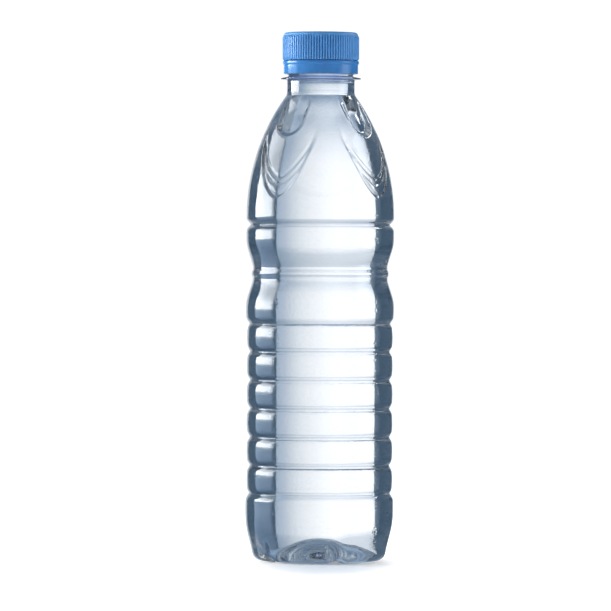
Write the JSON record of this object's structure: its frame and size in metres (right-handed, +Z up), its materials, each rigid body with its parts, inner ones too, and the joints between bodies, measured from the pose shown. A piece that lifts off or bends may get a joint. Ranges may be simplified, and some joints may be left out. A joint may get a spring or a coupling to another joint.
{
  "type": "plastic water bottle",
  "caption": "Clear ribbed PET water bottle, sealed and full, with a blue ribbed screw cap, a tamper band and a footed base.",
  "frame": {"origin": "On the floor under the bottle's axis, in the middle of its feet.", "axes": "+Z up along the bottle's axis, -Y the side that faces the viewer, +X to the viewer's right."},
  "size_m": [0.0608, 0.0608, 0.2169],
  "materials": {
    "clear_pet": "clear blown PET, glossy",
    "water": "clear still water",
    "blue_plastic": "moulded, satin",
    "liner_plastic": "soft seal, matt"
  },
  "bodies": {
    "bottle_body": {"bottle": "clear_pet", "water": "water", "tamper_band": "blue_plastic"},
    "liner_body": {"seal_liner": "liner_plastic"},
    "cap_body": {"screw_cap": "blue_plastic"}
  },
  "joints": [
    {"name": "cap_rise", "type": "slide", "parent": "bottle_body", "child": "liner_body", "axis": [0, 0, 1], "range_m": [0, 0.0054]},
    {"name": "cap_turn", "type": "hinge", "parent": "liner_body", "child": "cap_body", "pos_m": [0, 0, 0.2054], "axis": [0, 0, 1], "range_deg": [0, 720]}
  ],
  "couplings": [
    {"joint": "cap_rise", "follows": "cap_turn", "m_per_rad": 0.00042972}
  ]
}
